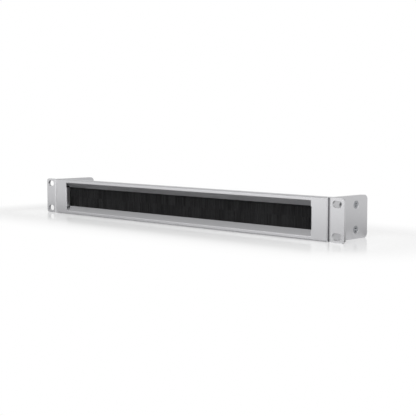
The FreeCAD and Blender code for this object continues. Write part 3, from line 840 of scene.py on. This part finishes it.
def floor_paint(stage):
    """White sheet of satin acrylic, which shows the contact shadow.

    It mirrors the panel near its foot, and farther out it runs into the white background.
    """
    material, tree = new_material("white_satin_acrylic")
    seen = seen_rays(tree)
    camera = add_node(tree, "ShaderNodeLightPath").outputs["Is Camera Ray"]
    # Distance from the panel's footprint
    place = add_node(tree, "ShaderNodeTexCoord").outputs["Object"]
    apart = add_node(tree, "ShaderNodeVectorMath", {0: place}, operation="ABSOLUTE")
    beyond = add_node(tree, "ShaderNodeVectorMath", {
        0: apart.outputs[0], 1: (CAD_BOX[1].x, CAD_BOX[1].y, 0)}, operation="SUBTRACT")
    outside = add_node(tree, "ShaderNodeVectorMath", {
        0: beyond.outputs[0], 1: (0, 0, 0)}, operation="MAXIMUM")
    distance = add_node(tree, "ShaderNodeVectorMath", {0: outside.outputs[0]},
                        operation="LENGTH").outputs["Value"]
    # Like the surround, the floor gives less fill light than the white that is seen and mirrored
    white_sheet = add_node(tree, "ShaderNodeMix", {
        FACTOR: seen, FIRST: colour4(linear(FLOOR_FILL)),
        SECOND: colour4(linear(FLOOR_WHITE))}, data_type="RGBA")
    matt = add_node(tree, "ShaderNodeBsdfDiffuse", {"Color": white_sheet.outputs[MIXED]})
    gloss = add_node(tree, "ShaderNodeBsdfAnisotropic", {
        "Color": colour4(linear(STUDIO_WHITE)), "Roughness": 0.06})
    # The mirror image fades with the distance, and acrylic mirrors most at a flat angle
    mirror = add_node(tree, "ShaderNodeMapRange", {
        "Value": distance, "From Min": 0.0, "From Max": stage.gloss_reach,
        "To Min": stage.gloss, "To Max": 0.0}, interpolation_type="SMOOTHSTEP")
    flat_angle = add_node(tree, "ShaderNodeFresnel", {"IOR": ACRYLIC_IOR})
    mirrored = add_node(tree, "ShaderNodeMath", {
        0: mirror.outputs["Result"], 1: flat_angle.outputs["Fac"]}, operation="MULTIPLY")
    glossy = add_node(tree, "ShaderNodeMath", {0: mirrored.outputs[0], 1: camera},
                      operation="MULTIPLY")
    bright = add_node(tree, "ShaderNodeMixShader", {
        0: glossy.outputs[0], 1: matt.outputs[0], 2: gloss.outputs[0]})
    # Close to the panel its undersides and lips mirror a dark sheet, and only flat rays find
    # white in it; a narrow strip at its foot stays white
    dark = add_node(tree, "ShaderNodeBsdfPrincipled", {
        "Base Color": colour4(linear(FLOOR_DARK)), "Roughness": 0.1, "IOR": 1.5})
    away = add_node(tree, "ShaderNodeMapRange", {
        "Value": distance, "From Min": DARK_FADE[0], "From Max": DARK_FADE[1]},
        interpolation_type="SMOOTHSTEP")
    foot = add_node(tree, "ShaderNodeMapRange", {
        "Value": distance, "From Min": FOOT_FADE[1], "From Max": FOOT_FADE[0]},
        interpolation_type="SMOOTHSTEP")
    open_part = add_node(tree, "ShaderNodeMath", {
        0: foot.outputs["Result"], 1: away.outputs["Result"]}, operation="MAXIMUM")
    lit = add_node(tree, "ShaderNodeMath", {0: camera, 1: open_part.outputs[0]},
                   operation="MAXIMUM")
    near = add_node(tree, "ShaderNodeMixShader", {
        0: lit.outputs[0], 1: dark.outputs[0], 2: bright.outputs[0]})
    # Away from the panel the floor runs out into the white background
    far = add_node(tree, "ShaderNodeMapRange", {
        "Value": distance, "From Min": WHITE_FADE[0], "From Max": WHITE_FADE[1]},
        interpolation_type="SMOOTHSTEP")
    seen_far = add_node(tree, "ShaderNodeMath", {0: far.outputs["Result"], 1: seen},
                        operation="MULTIPLY")
    lifted = add_node(tree, "ShaderNodeMath", {0: camera, 1: FLOOR_LIFT}, operation="MULTIPLY")
    share = add_node(tree, "ShaderNodeMath", {0: seen_far.outputs[0], 1: lifted.outputs[0]},
                     operation="MAXIMUM")
    white = add_node(tree, "ShaderNodeEmission", {
        "Color": colour4(linear(STUDIO_WHITE)), "Strength": 1.0})
    mixed = add_node(tree, "ShaderNodeMixShader", {
        0: share.outputs[0], 1: near.outputs[0], 2: white.outputs[0]})
    add_node(tree, "ShaderNodeOutputMaterial", {"Surface": mixed.outputs[0]})
    return material


def stage_sheet(name, size, material):
    """Flat square sheet of the stage, centred under the panel."""
    half = size / 2
    mesh = mesh_from(name, [(-half, -half, 0), (half, -half, 0), (half, half, 0),
                            (-half, half, 0)], [(0, 1, 2, 3)])
    mesh.materials.append(material)
    sheet = bpy.data.objects.new(name, mesh)
    bpy.context.scene.collection.objects.link(sheet)


def soft_lamp(name, place, target, size, power):
    """Rectangular lamp that faces its target."""
    light = bpy.data.lights.new(name, "AREA")
    light.shape = "RECTANGLE"
    light.size, light.size_y = size
    light.energy = power
    lamp = bpy.data.objects.new(name, light)
    lamp.location = place
    lamp.rotation_euler = (Vector(target) - Vector(place)).to_track_quat("-Z", "Y").to_euler()
    bpy.context.scene.collection.objects.link(lamp)


class SetStage(BrushPanelOperator):
    """Lay the floor, hang the lamps and place the camera"""
    bl_idname = "brush_panel.stage"
    bl_label = "Stage"

    def execute(self, context):
        scene = context.scene
        stage = scene.brush_panel_stage
        stage_sheet("floor", stage.floor_size, floor_paint(stage))
        scene.world = white_surround(stage.fill)
        soft_lamp("top_lamp", place=(0.2, 0.3, 1.6), target=(0, 0, 0), size=(1.8, 1.8),
                  power=stage.top_lamp)
        soft_lamp("key_lamp", place=(0.7, -0.62, 0.72), target=(0, 0, 0.02), size=(1.3, 1.0),
                  power=stage.key_lamp)
        soft_lamp("front_lamp", place=(-0.42, -1.05, 0.18), target=(0.1, 0, 0.02),
                  size=(0.7, 0.5), power=stage.front_lamp)

        lens = bpy.data.cameras.new("camera")
        lens.lens = CAMERA_LENS
        lens.sensor_width = CAMERA_SENSOR
        lens.sensor_fit = "HORIZONTAL"
        lens.clip_start = 0.01
        lens.clip_end = 100
        camera = bpy.data.objects.new("camera", lens)
        camera.location = CAMERA_PLACE
        camera.rotation_euler = CAMERA_TURN
        scene.collection.objects.link(camera)
        scene.camera = camera
        scene.view_settings.view_transform = "Standard"
        return {"FINISHED"}


PIECE_OPERATORS = (DressFrame, DressEars, DressRails, MakeBristles, MakeBracketScrews,
                   MakeRailScrews, SetStage)


class BrushPanelSidebar(bpy.types.Panel):
    """Settings and steps of the brush panel"""
    bl_idname = "VIEW3D_PT_brush_panel"
    bl_label = "Rack brush strip panel"
    bl_space_type = "VIEW_3D"
    bl_region_type = "UI"
    bl_category = "Brush Panel"

    def draw(self, context):
        for operator in PIECE_OPERATORS:
            self.layout.operator(operator.bl_idname)
        for name, group in SETTINGS.items():
            box = self.layout.box()
            for prop in group.__annotations__:
                box.prop(getattr(context.scene, name), prop)


def register():
    for name, group in SETTINGS.items():
        bpy.utils.register_class(group)
        setattr(bpy.types.Scene, name, bpy.props.PointerProperty(type=group))
    for operator in PIECE_OPERATORS:
        bpy.utils.register_class(operator)
    bpy.utils.register_class(BrushPanelSidebar)


def unregister():
    bpy.utils.unregister_class(BrushPanelSidebar)
    for operator in reversed(PIECE_OPERATORS):
        bpy.utils.unregister_class(operator)
    for name, group in SETTINGS.items():
        delattr(bpy.types.Scene, name)
        bpy.utils.unregister_class(group)


def main():
    register()
    bpy.ops.brush_panel.frame()
    bpy.ops.brush_panel.ears()
    bpy.ops.brush_panel.rails()
    bpy.ops.brush_panel.bristles()
    bpy.ops.brush_panel.bracket_screws()
    bpy.ops.brush_panel.rail_screws()
    bpy.ops.brush_panel.stage()


if __name__ == "__main__":
    main()
